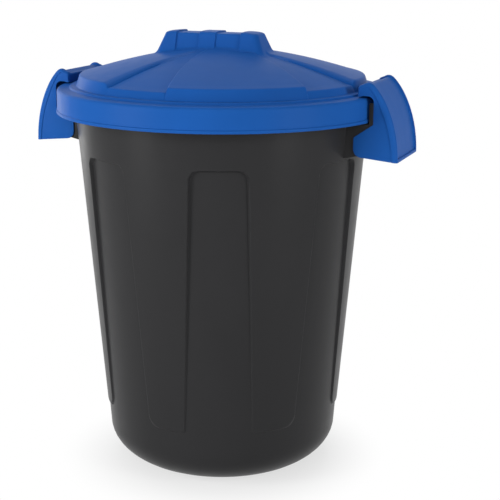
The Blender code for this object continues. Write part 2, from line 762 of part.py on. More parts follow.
def make_handle(shop, material):
    half = HANDLE_WIDTH / 2
    body = shop.extruded("handle_right", handle_outline(), -half, half, cheek_frame())
    shop.cutters.objects.unlink(body)
    shop.parts.objects.link(body)
    body.hide_render = False
    body.display_type = "TEXTURED"
    scoop = shop.extruded("scoop", scoop_outline(), -CHEEK_INNER, CHEEK_INNER, cheek_frame())
    border = shop.extruded(
        "border", border_outline(), -half + BORDER_WIDTH, half - BORDER_WIDTH, cheek_frame())
    stubs = [
        shop.rod("stub_front", STUB_RADIUS, -half + CHEEK_THICKNESS / 2, -EAR_INNER_FACE + STUB_REACH),
        shop.rod("stub_back", STUB_RADIUS, EAR_INNER_FACE - STUB_REACH, half - CHEEK_THICKNESS / 2),
    ]
    combine(body, "DIFFERENCE", [scoop, border])
    combine(body, "UNION", stubs)
    for helper in [scoop, border, *stubs]:
        helper.parent = body
    body.location = (PIVOT_REACH, 0, PIVOT_HEIGHT)
    return finish(body, material)


def make_left_handle(shop, right):
    """The same moulding turned half round the can."""
    left = shop.place("handle_left", right.data, part=True)
    left.location = (-PIVOT_REACH, 0, PIVOT_HEIGHT)
    left.rotation_euler.z = math.pi
    return left


def main():
    clear_scene()
    shop = Shop()
    charcoal = plastic("bucket_plastic", CHARCOAL, BODY_ROUGHNESS)
    lid_blue = plastic("lid_plastic", BLUE, BLUE_ROUGHNESS)
    handle_blue = plastic("handle_plastic", BLUE, BLUE_ROUGHNESS)
    make_bucket(shop, charcoal)
    make_lid(shop, lid_blue)
    right = make_handle(shop, handle_blue)
    make_left_handle(shop, right)


main()
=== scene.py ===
import math

import bmesh
import bpy
import numpy as np
from mathutils import Matrix, Vector


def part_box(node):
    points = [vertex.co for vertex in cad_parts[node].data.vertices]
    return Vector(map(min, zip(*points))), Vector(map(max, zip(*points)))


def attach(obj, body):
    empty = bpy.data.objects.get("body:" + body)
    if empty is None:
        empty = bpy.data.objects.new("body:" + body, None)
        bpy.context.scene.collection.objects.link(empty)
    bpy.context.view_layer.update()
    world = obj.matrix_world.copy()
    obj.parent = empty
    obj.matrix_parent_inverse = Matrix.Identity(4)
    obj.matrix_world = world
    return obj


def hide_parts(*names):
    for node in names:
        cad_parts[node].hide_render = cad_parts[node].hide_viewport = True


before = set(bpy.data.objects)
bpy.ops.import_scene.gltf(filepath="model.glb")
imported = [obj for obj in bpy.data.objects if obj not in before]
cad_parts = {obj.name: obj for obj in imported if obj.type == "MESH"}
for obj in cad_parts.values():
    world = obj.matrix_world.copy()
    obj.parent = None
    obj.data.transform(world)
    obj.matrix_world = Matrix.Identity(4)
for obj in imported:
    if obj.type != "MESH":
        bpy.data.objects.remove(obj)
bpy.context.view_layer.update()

bl_info = {
    "name": "Trash can looks",
    "version": (1, 0, 0),
    "blender": (4, 5, 0),
    "location": "3D View > Sidebar > Trash can",
    "description": "Dresses a round trash can: bucket, domed lid with its grip, and two hook-over handles",
    "category": "Object",
}

MM = 0.001

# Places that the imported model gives: where the can's parts end
BUCKET_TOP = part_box("bucket")[1].z
LID_LOW, LID_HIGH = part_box("lid")
RIGHT_LOW, RIGHT_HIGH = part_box("handle_right")
LID_RADIUS = min(LID_HIGH.x, LID_HIGH.y)
HALF_HANDLE = (RIGHT_HIGH.y - RIGHT_LOW.y) / 2

# Bucket, in metres as the CAD source has it
PANEL_COUNT = 7
FIRST_PANEL = math.radians(21.0)
PANEL_TOP = 0.4440
PANEL_TOP_RADIUS = 0.1896
PANEL_TAPER = 0.0295 / 0.3880
PILLAR_TOP_RADIUS = 0.1947
PILLAR_TAPER = 0.0300 / 0.3530
PANEL_TOP_HALF = 0.03825
PANEL_LOW_HALF = 0.04425
PANEL_CORNER = 0.0130
PILLAR_FOOT = 0.0870
PILLAR_CORNER = 0.0160
FRONT_CORNER = 0.0030
BASE_HEIGHT = 0.0560
BASE_RUN = 0.0801
FOOT_RADIUS = 0.0800
RIM_INNER = 0.2181
RIM_LIP = 0.5088

# Lid
RING_HEIGHT = 0.5305
LEDGE_HEIGHT = 0.5275
DOME_RADIUS = 0.1916
SECTOR_TURN = math.radians(27.8)
# The side sectors, and half the width of each slope down to a low wedge, as an angle and in metres
SIDE_HALF_ANGLE = math.radians(33.2)
SIDE_SLOPE = math.radians(2.3)
FRONT_SLOPE = 0.0015
# Depth of the crease at a slope's foot, as a share of the slope's height
CREASE = 0.16
SKIRT_RADIUS = 0.2236
# Inside this circle the lid's columns bend in to meet the grip, and outside the next its shoulder rounds
MORPH_RADIUS = 0.1080
DOME_FLAT_RADIUS = 0.1800
SHOULDER_ROUNDING = 0.0042

# Grip
GRIP_X = -0.0108
GRIP_FOOT_HEIGHT = 0.5660
GRIP_HEIGHT = LID_HIGH.z - GRIP_FOOT_HEIGHT
GRIP_FOOT = (0.0803, 0.0290)
GRIP_TOP = (0.0653, 0.0190)
GRIP_PANEL_DEPTH = 0.0021
# Past this share of its half width, a spot on the grip is on a long side and follows the finger panels
GRIP_SIDE_SHARE = 0.6

# Camera, in radians: how far it looks to the right of the can's axis and downwards, and its lean
CAMERA_YAW = 0.0221
CAMERA_PITCH = 0.2420
CAMERA_ROLL = 0.0046

# How much of the floor round the can is plain white, where it fades to the background
FLOOR_GLOW = 0.66

# Handles
PIVOT_X = 0.2130
PIVOT_Z = 0.4640


def linear(code):
    """An sRGB hex colour as the linear numbers that shaders take."""
    parts = [int(code[i:i + 2], 16) / 255 for i in (0, 2, 4)]
    return tuple(p / 12.92 if p <= 0.04045 else ((p + 0.055) / 1.055) ** 2.4 for p in parts)


def ease(value, low, high):
    """0 below low, 1 above high, and a smooth step between them."""
    share = min(max((value - low) / (high - low), 0.0), 1.0)
    return share * share * (3 - 2 * share)


def mix(first, second, share):
    return first + (second - first) * share


def apart(first, second):
    """How far apart two angles are, whichever way round is shorter."""
    return abs((first - second + math.pi) % math.tau - math.pi)


# Plane outlines

def arc(centre, radius, start, end, steps):
    """Points on an arc given in degrees."""
    angles = np.radians(np.linspace(start, end, steps + 1))
    return [(centre[0] + radius * math.cos(a), centre[1] + radius * math.sin(a)) for a in angles]


def bezier(corners, shares):
    """Points along a cubic curve at the given shares of it."""
    points = []
    for t in shares:
        weights = ((1 - t) ** 3, 3 * t * (1 - t) ** 2, 3 * t * t * (1 - t), t ** 3)
        points.append(tuple(sum(w * c[i] for w, c in zip(weights, corners)) for i in (0, 1)))
    return points


def rounded(corners, steps=5):
    """An open outline of (x, y, radius) corners, each inner corner with a radius turned into an arc."""
    points = []
    for index, (x, y, radius) in enumerate(corners):
        here = Vector((x, y))
        if not radius:
            points.append((x, y))
            continue
        before = (Vector(corners[index - 1][:2]) - here).normalized()
        after = (Vector(corners[index + 1][:2]) - here).normalized()
        half = before.angle(after) / 2
        centre = here + (before + after).normalized() * (radius / math.sin(half))
        first = here + before * (radius / math.tan(half)) - centre
        turn = first.angle_signed(here + after * (radius / math.tan(half)) - centre)
        for share in np.linspace(0, 1, steps + 1):
            spoke = first.copy()
            spoke.rotate(Matrix.Rotation(-turn * share, 2))
            points.append(tuple(centre + spoke))
    return points


# Mesh tools

def spun(rows, columns):
    """A sheet of rows and columns turned round Z, and a list of its vertices with their rows and columns."""
    sheet = bmesh.new()
    row_of = sheet.verts.layers.float.new("row")
    line = []
    for index in range(rows):
        vert = sheet.verts.new((1 + index, 0, 0))
        vert[row_of] = index
        line.append(vert)
    line += [sheet.edges.new(pair) for pair in zip(line, line[1:])]
    bmesh.ops.spin(
        sheet, geom=line, cent=(0, 0, 0), axis=(0, 0, 1), angle=math.tau, steps=columns,
        use_merge=True, use_duplicate=False)
    places = []
    for vert in sheet.verts:
        turn = math.atan2(vert.co.y, vert.co.x) % math.tau
        places.append((vert, round(vert[row_of]), round(turn / math.tau * columns) % columns))
    return sheet, places


def face_outwards(sheet, probe, outwards):
    """Makes all normals agree, with the face nearest the probe looking outwards."""
    bmesh.ops.recalc_face_normals(sheet, faces=sheet.faces)
    nearest = min(sheet.faces, key=lambda f: (f.calc_center_median() - Vector(probe)).length)
    if nearest.normal.dot(Vector(outwards)) < 0:
        bmesh.ops.reverse_faces(sheet, faces=sheet.faces)


def plate(outline, low, high, bends=1, follow=None, edge=0.0004):
    """A plate whose outline is drawn on X and Z, and which runs from low to high along Y."""
    body = bmesh.new()
    verts = [body.verts.new((x, low, z)) for x, z in outline]
    front = body.faces.new(verts)
    faces = [front]
    for _ in range(bends):
        made = bmesh.ops.extrude_face_region(body, geom=faces)["geom"]
        moved = [g for g in made if isinstance(g, bmesh.types.BMVert)]
        bmesh.ops.translate(body, verts=moved, vec=(0, (high - low) / bends, 0))
        if len(faces) == 1 and faces[0] is not front:
            bmesh.ops.delete(body, geom=faces, context="FACES_ONLY")
        faces = [g for g in made if isinstance(g, bmesh.types.BMFace)]
    bmesh.ops.recalc_face_normals(body, faces=body.faces)
    if edge:
        sharp = [e for e in body.edges if e.is_manifold and e.calc_face_angle() > math.radians(40)]
        bmesh.ops.bevel(
            body, geom=sharp, offset=edge, offset_type="OFFSET", segments=2, profile=0.5,
            affect="EDGES", material=-1, clamp_overlap=True)
    if follow:
        for vert in body.verts:
            follow(vert)
    return body


def rod(radius, low, high, centre, edge=0.0005):
    """A rod along Y with eased ends."""
    body = bmesh.new()
    bmesh.ops.create_cone(
        body, cap_ends=True, segments=40, radius1=radius, radius2=radius, depth=high - low)
    rims = [e for e in body.edges if abs(e.verts[0].co.z - e.verts[1].co.z) < MM * 0.01]
    bmesh.ops.bevel(
        body, geom=rims, offset=edge, offset_type="OFFSET", segments=2, profile=0.5,
        affect="EDGES", material=-1)
    bmesh.ops.rotate(body, verts=body.verts, cent=(0, 0, 0), matrix=Matrix.Rotation(math.pi / 2, 3, "X"))
    bmesh.ops.translate(body, verts=body.verts, vec=(centre[0], (low + high) / 2, centre[1]))
    return body


def turned_round(body):
    """A copy of a mesh turned half round the can."""
    other = body.copy()
    bmesh.ops.rotate(other, verts=other.verts, cent=(0, 0, 0), matrix=Matrix.Rotation(math.pi, 3, "Z"))
    return other


def object_from(name, sheets):
    """One object at the origin from one or more meshes."""
    whole = bpy.data.meshes.new(name)
    joined = bmesh.new()
    for sheet in sheets:
        part = bpy.data.meshes.new(name + "_part")
        sheet.to_mesh(part)
        sheet.free()
        joined.from_mesh(part)
        bpy.data.meshes.remove(part)
    joined.to_mesh(whole)
    joined.free()
    made = bpy.data.objects.new(name, whole)
    bpy.context.scene.collection.objects.link(made)
    return made


def walled(piece, thickness, edge=0.0):
    """Gives a sheet its wall on the inner side, and eases the wall's rim."""
    wall = piece.modifiers.new("wall", "SOLIDIFY")
    wall.thickness = thickness
    wall.offset = -1
    wall.use_even_offset = True
    wall.use_rim = True
    if edge:
        ease_rim = piece.modifiers.new("rim", "BEVEL")
        ease_rim.width = edge
        ease_rim.segments = 2
        ease_rim.limit_method = "ANGLE"
        ease_rim.angle_limit = math.radians(50)
        ease_rim.use_clamp_overlap = True


def bake(piece, sharp=38):
    """Turns the piece's modifiers into its mesh, shaded smooth except at sharp corners."""
    graph = bpy.context.evaluated_depsgraph_get()
    mesh = bpy.data.meshes.new_from_object(piece.evaluated_get(graph))
    piece.modifiers.clear()
    old = piece.data
    piece.data = mesh
    bpy.data.meshes.remove(old)
    mesh.name = piece.name
    mesh.shade_smooth()
    mesh.set_sharp_from_angle(angle=math.radians(sharp))


def dress(piece, material, body, node):
    """The piece's material, and its place in the frame."""
    piece.data.materials.clear()
    piece.data.materials.append(material)
    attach(piece, body)
    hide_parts(node)


# Materials

def add_node(tree, kind, settings=None, links=None):
    """Adds a node, sets its properties and sockets by name, and links its inputs to other nodes' outputs."""
    node = tree.nodes.new(kind)
    for name, value in (settings or {}).items():
        if isinstance(name, int) or name in node.inputs:
            node.inputs[name].default_value = value
        else:
            setattr(node, name, value)
    for name, output in (links or {}).items():
        tree.links.new(output, node.inputs[name])
    return node


def moulded_plastic(name, colour, roughness, shine, grain, mottle):
    """Injection-moulded polypropylene: a satin skin with a fine spark-eroded grain, faint flow marks in its
    colour, and slightly uneven gloss. Its shine is the specular level, lower than a polished moulding's."""
    made = bpy.data.materials.new(name)
    made.use_nodes = True
    made.diffuse_color = (*colour, 1)
    tree = made.node_tree
    tree.nodes.clear()
    spots = add_node(tree, "ShaderNodeTexCoord").outputs["Object"]
    # Flow marks: broad soft clouds about 70 mm across, drawn out along the pull direction
    pulled = add_node(tree, "ShaderNodeMapping", {"Scale": (1.0, 1.0, 0.45)}, {"Vector": spots})
    clouds = add_node(
        tree, "ShaderNodeTexNoise", {"Scale": 1 / 0.070, "Detail": 3.0, "Roughness": 0.5},
        {"Vector": pulled.outputs["Vector"]})
    # Grain: real spark erosion is about 0.1 mm, too fine to show, so it is drawn 0.9 mm across
    pits = add_node(
        tree, "ShaderNodeTexNoise", {"Scale": 1 / 0.0009, "Detail": 2.0, "Roughness": 0.6}, {"Vector": spots})
    ripple = add_node(
        tree, "ShaderNodeTexNoise", {"Scale": 1 / 0.018, "Detail": 2.0, "Roughness": 0.5}, {"Vector": spots})
    shade = add_node(
        tree, "ShaderNodeMapRange",
        {"From Min": 0.3, "From Max": 0.7, "To Min": 1 - mottle, "To Max": 1 + mottle},
        {"Value": clouds.outputs["Fac"]})
    tint = add_node(tree, "ShaderNodeVectorMath", {"operation": "SCALE"}, {"Scale": shade.outputs["Result"]})
    tint.inputs[0].default_value = colour
    gloss = add_node(
        tree, "ShaderNodeMapRange",
        {"From Min": 0.25, "From Max": 0.75, "To Min": roughness - 0.025, "To Max": roughness + 0.025},
        {"Value": ripple.outputs["Fac"]})
    bump = add_node(
        tree, "ShaderNodeBump", {"Strength": grain, "Distance": 0.00006}, {"Height": pits.outputs["Fac"]})
    shader = add_node(
        tree, "ShaderNodeBsdfPrincipled", {"IOR": 1.49, "Metallic": 0.0, "Specular IOR Level": shine},
        {"Base Color": tint.outputs["Vector"], "Roughness": gloss.outputs["Result"],
         "Normal": bump.outputs["Normal"]})
    add_node(tree, "ShaderNodeOutputMaterial", None, {"Surface": shader.outputs["BSDF"]})
    return made


# Bucket

def panel_radius(height):
    return PANEL_TOP_RADIUS + (height - PANEL_TOP) * PANEL_TAPER


def pillar_radius(height):
    return PILLAR_TOP_RADIUS + (height - PANEL_TOP) * PILLAR_TAPER


def panel_half(height):
    """Half the width of a recessed panel."""
    share = (height - 0.0910) / (PANEL_TOP - 0.0910)
    return mix(PANEL_LOW_HALF, PANEL_TOP_HALF, min(max(share, -0.03), 1.0))


# How far the front panel and the one to its right are turned along the wall, and how much narrower the
# front one is, at the panels' top and at their foot, in metres
PANEL_SHIFT = {0: (-0.0016, -0.0030), 1: (0.0034, 0.0030)}
FRONT_NARROWER = (0.0021, 0.0)


def panel_layout(height, panel):
    """A panel's shift along the wall and half its width at a height."""
    share = min(max((height - 0.0910) / (PANEL_TOP - 0.0910), 0.0), 1.0)
    top, low = PANEL_SHIFT.get(panel % PANEL_COUNT, (0.0, 0.0))
    less = mix(FRONT_NARROWER[1], FRONT_NARROWER[0], share) if panel % PANEL_COUNT == 0 else 0.0
    return mix(low, top, share), panel_half(height) - less


# Columns beside a panel's edge, in metres outwards from it, closest where the step is
EDGE_COLUMNS = [e * MM for e in (
    -16, -12.5, -9.5, -6.5, -4.2, -2.8, -2.0, -1.3, -0.7, 0,
    0.7, 1.3, 2.0, 2.8, 4.2, 6.5, 9.5, 12.5, 15.5, 19)]
PANEL_COLUMNS = 4
PILLAR_COLUMNS = 4
HALF_COLUMNS = PANEL_COLUMNS + len(EDGE_COLUMNS) + PILLAR_COLUMNS - 1


def column_turns(height, panel, side):
    """Angles from a panel's middle to the next pillar's middle on one side, and the panel's own turn."""
    height = min(max(height, 0.0800), 0.4600)
    radius = panel_radius(height)
    shift, half = panel_layout(height, panel)
    edge = math.asin(half / radius)
    first = edge + EDGE_COLUMNS[0] / radius
    last = edge + EDGE_COLUMNS[-1] / radius
    turns = [first * i / PANEL_COLUMNS for i in range(PANEL_COLUMNS)]
    turns += [edge + e / radius for e in EDGE_COLUMNS]
    rest = math.pi / PANEL_COUNT - last - side * shift / radius
    turns += [last + rest * (i + 1) / PILLAR_COLUMNS for i in range(PILLAR_COLUMNS)]
    return turns, shift / radius


def corner_distance(across, up, corner):
    """Distance inside a corner region's edge, whose corner is rounded: across and up are how far inside it
    lies from each side."""
    dx, dy = corner - across, corner - up
    if dx > 0 and dy > 0:
        return corner - math.hypot(dx, dy)
    return min(across, up)


def raised(height, turn, half, corner):
    """How far a spot belongs to the raised pillars, from 0 in a panel to 1. The turn is from the panel's
    middle."""
    beyond = panel_radius(height) * math.sin(turn) - half
    inside = corner_distance(-beyond, PANEL_TOP - height, PANEL_CORNER)
    above = corner_distance(beyond if height < 0.30 else 1.0, height - PILLAR_FOOT, corner)
    return min(ease(-inside, -0.0009, 0.0011), ease(above, -0.0009, 0.0011))


def bucket_rows():
    """Heights and radii down the bucket's outer side, from the rim's lip to the middle of the foot. A radius
    of None follows the panels."""
    under = BUCKET_TOP - 0.0024
    rows = [(RIM_LIP, RIM_INNER), (0.5140, RIM_INNER)]
    rows += [(z, r) for r, z in arc((RIM_INNER - 0.003, under - 0.003), 0.003, 0, 90, 4)]
    rows += [(under, 0.2100)]
    wall = pillar_radius(under)
    rows += [(z, r) for r, z in arc((wall + 0.004, under - 0.004), 0.004, 90, 180, 4)]
    rows += [(z, None) for z in (0.512, 0.505, 0.495, 0.482, 0.470, 0.460)]
    rows += [(PANEL_TOP + d * MM, None) for d in (
        9, 5.5, 3.6, 2.6, 1.9, 1.3, 0.7, 0.1, -0.5, -1.1, -1.8, -2.6, -3.6, -4.9, -6.5, -8.5, -11, -14)]
    rows += [(z, None) for z in np.linspace(0.420, 0.122, 12)]
    rows += [(PILLAR_FOOT + d * MM, None) for d in (
        29, 24, 20, 16.5, 13.5, 11, 8.8, 7, 5.4, 4.0, 2.8, 1.9, 1.2, 0.6, 0,
        -0.6, -1.2, -1.9, -3.5, -7, -13, -20)]
    for turn in np.linspace(0, math.pi / 2, 15):
        rows.append((BASE_HEIGHT * (1 - math.sin(turn)), FOOT_RADIUS + BASE_RUN * math.cos(turn)))
    return rows + [(0.0, r) for r in (0.060, 0.035, 0.012, 0.0)]


def bucket_shell():
    rows = bucket_rows()
    sheet, places = spun(len(rows), 2 * HALF_COLUMNS * PANEL_COUNT)
    kinds = {}
    for vert, row, column in places:
        height, radius = rows[row]
        panel, step = divmod(column + HALF_COLUMNS, 2 * HALF_COLUMNS)
        step -= HALF_COLUMNS
        side = -1 if step < 0 else 1
        if (row, panel, side) not in kinds:
            kinds[row, panel, side] = column_turns(height, panel, side)
        turns, shift = kinds[row, panel, side]
        turn = turns[abs(step)]
        if radius is None:
            # The front panel's lower corners are tight, the side panels' wide
            corner = FRONT_CORNER if panel % PANEL_COUNT == 0 else PILLAR_CORNER
            share = raised(height, turn, panel_layout(height, panel)[1], corner)
            radius = mix(panel_radius(height), pillar_radius(height), share)
        angle = FIRST_PANEL - math.pi / 2 + panel * math.tau / PANEL_COUNT + shift + side * turn
        vert.co = (radius * math.cos(angle), radius * math.sin(angle), height)
    bmesh.ops.remove_doubles(sheet, verts=sheet.verts, dist=MM * 0.01)
    face_outwards(sheet, (0.2, 0, 0.3), (1, 0, 0))
    return sheet


def wall_spot(height, across):
    """Where the middle of the bucket's wall is, out along X, at a height and a distance along Y."""
    return math.sqrt((pillar_radius(height) - 0.0013) ** 2 - across ** 2)


def rooted(vert):
    """Moves a bracket's inner end into the bucket's wall."""
    if vert.co.x < 0.2000:
        vert.co.x = wall_spot(vert.co.z, vert.co.y)


def bracket():
    """The ears that carry the right handle's stubs, the shelf under the lid's skirt and its outer web."""
    parts = []
    for side in (-1, 1):
        outline = [(0.1900, 0.4939), (0.2211, 0.4939), (0.2211, 0.5210), (0.2284, 0.5210), (0.2284, 0.4820)]
        outline += arc((PIVOT_X, PIVOT_Z), 0.0105, 0, -90, 6) + [(0.1900, 0.4480)]
        low, high = sorted((side * 0.0485, side * 0.0515))
        parts.append(plate(outline, low, high, follow=rooted))
    shelf = [(0.1900, 0.4939), (0.2260, 0.4939), (0.2260, 0.5210), (0.2284, 0.5210), (0.2284, 0.4933),
             (0.2262, 0.4913), (0.1900, 0.4913)]
    parts.append(plate(shelf, -0.0490, 0.0490, bends=14, follow=rooted))
    return parts


# Lid

FRONT_HALF_WIDTH = np.polyfit(
    (0.033, 0.054, 0.075, 0.098, 0.117, 0.142, 0.159, 0.170),
    (0.0290, 0.0410, 0.0490, 0.0580, 0.0670, 0.0770, 0.0820, 0.0845), 3)


def front_half_angle(radius):
    """Half the angle that the lid's front or back sector takes at a radius: its edges bow outwards."""
    angle = math.radians(35)
    for _ in range(12):
        width = float(np.polyval(FRONT_HALF_WIDTH, min(max(radius * math.cos(angle), 0.020), 0.172)))
        angle = math.asin(min(width / radius, 0.86))
    return angle


FRONT_ANGLES_AT = np.linspace(0.025, 0.230, 83)
FRONT_ANGLES = np.array([front_half_angle(r) for r in FRONT_ANGLES_AT])


def sectors(radius):
    """The raised sectors at a radius: each one's middle, half its width and half its slope, as angles."""
    front = float(np.interp(radius, FRONT_ANGLES_AT, FRONT_ANGLES))
    found = []
    for index in range(4):
        middle = SECTOR_TURN + (index - 1) * math.pi / 2
        half, slope = (SIDE_HALF_ANGLE, SIDE_SLOPE) if index % 2 else (front, FRONT_SLOPE / radius)
        found.append((middle, half, slope))
    return found


def wedge_height(radius):
    return RING_HEIGHT + 0.0495 - 0.0408 * (radius / DOME_RADIUS) ** 1.60


def sector_height(radius):
    return RING_HEIGHT + 0.0500 - 0.0355 * (radius / DOME_RADIUS) ** 1.73


def on_sector(radius, angle):
    """1 on a raised sector, 0 in a low wedge. The slope between them has a rounded top and a creased foot."""
    share = 0.0
    for middle, half, slope in sectors(radius):
        off = apart(angle, middle)
        across = (half - off) / slope
        rise = min(max(across / 2 + 0.5, 0.0), 1.0)
        crease = CREASE * max(1 - abs(across + 1.1) / 0.5, 0.0) ** 2
        share += 1 - (1 - rise) ** 3 - crease
    return share


def dome_height(x, y):
    radius = math.hypot(x, y)
    return mix(wedge_height(radius), sector_height(radius), on_sector(max(radius, 0.030), math.atan2(y, x)))


# Columns at a sector's edge, in half widths of its slope
LID_EDGE_COLUMNS = (-4.0, -2.4, -1.6, -1.2, -1.0, -0.8, -0.4, 0, 0.4, 0.8, 1.0, 1.2, 1.6, 2.4, 4.0)
SECTOR_COLUMNS = 28
WEDGE_COLUMNS = 14
LID_COLUMNS = 4 * (SECTOR_COLUMNS + WEDGE_COLUMNS) + 8 * len(LID_EDGE_COLUMNS)
GRIP_START = math.radians(198)


def lid_turns(radius):
    """The lid's columns at a radius as rising angles, gathered at the sectors' edges."""
    edges = []
    for middle, half, slope in sectors(radius):
        edges += [(middle - half, slope), (middle + half, slope)]
    edges.append((edges[0][0] + math.tau, edges[0][1]))
    turns = []
    for index in range(8):
        edge, slope = edges[index]
        following, next_slope = edges[index + 1]
        turns += [edge + step * slope for step in LID_EDGE_COLUMNS]
        first, last = turns[-1], following + LID_EDGE_COLUMNS[0] * next_slope
        count = WEDGE_COLUMNS if index % 2 else SECTOR_COLUMNS
        turns += [mix(first, last, (i + 1) / (count + 1)) for i in range(count)]
    return turns


GRIP_STRAIGHT = 0.0713
GRIP_FIXED = 0.0500
# Where the grip's bands end, from its middle: the first finger panel and the second lie between pairs
BAND_EDGES = (-0.0480, -0.0150, 0.0090, 0.0440)
GRIP_CORNER = 0.0090
CORNER_STEPS = 9
END_STEPS = 24
SIDE_STEPS = (LID_COLUMNS - 4 * CORNER_STEPS - 2 * END_STEPS) // 2


def grip_side_spots():
    """Places along the grip's long side as distances from its middle, gathered at the edges of its bands."""
    spots = [edge + d * MM for edge in BAND_EDGES for d in (-1.6, -1.1, -0.6, -0.2, 0.2, 0.6, 1.1, 1.6)]
    spots = [-GRIP_STRAIGHT] + spots + [GRIP_STRAIGHT]
    gaps = [(low, high) for low, high in zip(spots, spots[1:]) if high - low > 0.003]
    total = sum(high - low for low, high in gaps)
    spare = SIDE_STEPS - len(spots)
    given = [int(spare * (high - low) / total) for low, high in gaps]
    given[-1] += spare - sum(given)
    for (low, high), count in zip(gaps, given):
        spots += [mix(low, high, (i + 1) / (count + 1)) for i in range(count)]
    return sorted(spots)


GRIP_SIDE = grip_side_spots()


def grip_spot(column, half_length, half_width, corner):
    """A spot on a rounded rectangle round the grip's middle. Column 0 is at its front side's left end."""
    corner = max(min(corner, half_width, half_length), 0.0)

    def along(distance):
        if abs(distance) <= GRIP_FIXED:
            reach = abs(distance)
        else:
            share = (abs(distance) - GRIP_FIXED) / (GRIP_STRAIGHT - GRIP_FIXED)
            reach = mix(GRIP_FIXED, half_length - corner, share)
        return math.copysign(min(reach, half_length - corner), distance)

    quarter = SIDE_STEPS + CORNER_STEPS + END_STEPS + CORNER_STEPS
    side, place = divmod(column, quarter)
    flip = -1 if side else 1
    if place < SIDE_STEPS:
        return along(GRIP_SIDE[SIDE_STEPS - 1 - place if side else place]), -half_width * flip
    place -= SIDE_STEPS
    if place < CORNER_STEPS:
        turn = -math.pi / 2 + math.pi / 2 * (place + 1) / (CORNER_STEPS + 1)
        x = half_length - corner + corner * math.cos(turn)
        y = -half_width + corner + corner * math.sin(turn)
        return x * flip, y * flip
    place -= CORNER_STEPS
    if place < END_STEPS:
        straight = half_width - corner
        return half_length * flip, mix(-straight, straight, place / (END_STEPS - 1)) * flip
    place -= END_STEPS
    turn = math.pi / 2 * (place + 1) / (CORNER_STEPS + 1)
    x = half_length - corner + corner * math.cos(turn)
    y = half_width - corner + corner * math.sin(turn)
    return x * flip, y * flip


def finger_panel(x):
    """1 over the two recessed finger panels of the grip, 0 on its three bands."""
    first, second, third, fourth = [ease(x, edge - 0.0006, edge + 0.0006) for edge in BAND_EDGES]
    return first * (1 - second) + third * (1 - fourth)


def grip_size(height):
    """Half the grip's length and width at a height, without its recessed panels."""
    share = (height - GRIP_FOOT_HEIGHT) / GRIP_HEIGHT
    return mix(GRIP_FOOT[0], GRIP_TOP[0], share), mix(GRIP_FOOT[1], GRIP_TOP[1], share)


GRIP_EDGE = 0.0050
TOP_INSETS = (1.0, 0.9, 0.78, 0.64, 0.50, 0.36, 0.22, 0.10)
FILLET = ((0.0, 5.2), (0.35, 3.2), (1.05, 1.7), (2.1, 0.7), (3.5, 0.15), (5.2, 0.0))
GRIP_WALL_ROWS = 6
MORPH_ROWS = 16


def grip_rows():
    """The grip's rows from its top's middle line down to the fillet on the dome, as functions' arguments."""
    rows = [("top", share) for share in TOP_INSETS]
    rows += [("edge", math.radians(a)) for a in (90, 75, 60, 45, 30, 15, 0)]
    rows += [("wall", i / GRIP_WALL_ROWS) for i in range(1, GRIP_WALL_ROWS)]
    rows += [("foot", lift * MM, out * MM) for lift, out in FILLET[::-1]]
    rows += [("morph", i / MORPH_ROWS) for i in range(1, MORPH_ROWS)]
    return rows


def crown(x, y):
    """How much the top of the grip falls away: towards its ends, and in the finger panels."""
    end = max(abs(x) - 0.046, 0) / 0.019
    return 0.0016 * end * end + GRIP_PANEL_DEPTH * finger_panel(x) + 0.0007 * (y / 0.019) ** 2


def foot_place(column, lift, out):
    """Where the fillet round the grip's foot goes: how far over the dome, and how far out from the wall."""
    height = GRIP_FOOT_HEIGHT + 0.0080
    for _ in range(3):
        x, y = grip_spot(column, *[s + out for s in grip_size(height)], GRIP_CORNER + out)
        height = dome_height(x + GRIP_X, y) + lift
    if abs(y) > GRIP_SIDE_SHARE * GRIP_FOOT[1]:
        y -= math.copysign(GRIP_PANEL_DEPTH * finger_panel(x) * (1 - ease(out, 0, 0.0030)), y)
    return x + GRIP_X, y, height


def grip_place(row, column, circle):
    """Where a vertex of the grip or of the dome round it goes."""
    kind = row[0]
    top = LID_HIGH.z
    edge_height = top - GRIP_EDGE
    length, width = grip_size(edge_height)
    if kind == "top":
        inset = GRIP_EDGE + row[1] * (width - GRIP_EDGE)
        x, y = grip_spot(column, length - inset, width - inset, GRIP_CORNER + GRIP_EDGE * 0.4 - inset)
        return x + GRIP_X, y, top - crown(x, y)
    if kind == "edge":
        out = GRIP_EDGE * (1 - math.cos(row[1]))
        up = GRIP_EDGE * math.sin(row[1])
        x, y = grip_spot(column, length - out, width - out, GRIP_CORNER - out * 0.6)
        if abs(y) > GRIP_SIDE_SHARE * width:
            y -= math.copysign(GRIP_PANEL_DEPTH * finger_panel(x) * math.cos(row[1]), y)
        return x + GRIP_X, y, edge_height + up - crown(x, y) * math.sin(row[1])
    if kind == "wall":
        x, y, height = foot_place(column, FILLET[-1][0] * MM, 0.0)
        height = mix(edge_height, height, row[1])
        x, y = grip_spot(column, *grip_size(height), GRIP_CORNER)
        if abs(y) > GRIP_SIDE_SHARE * width:
            y -= math.copysign(GRIP_PANEL_DEPTH * finger_panel(x), y)
        return x + GRIP_X, y, height
    if kind == "foot":
        return foot_place(column, *row[1:])
    x, y, _ = foot_place(column, FILLET[0][0] * MM, FILLET[0][1] * MM)
    x, y = mix(x, circle[0], row[1]), mix(y, circle[1], row[1])
    return x, y, dome_height(x, y)


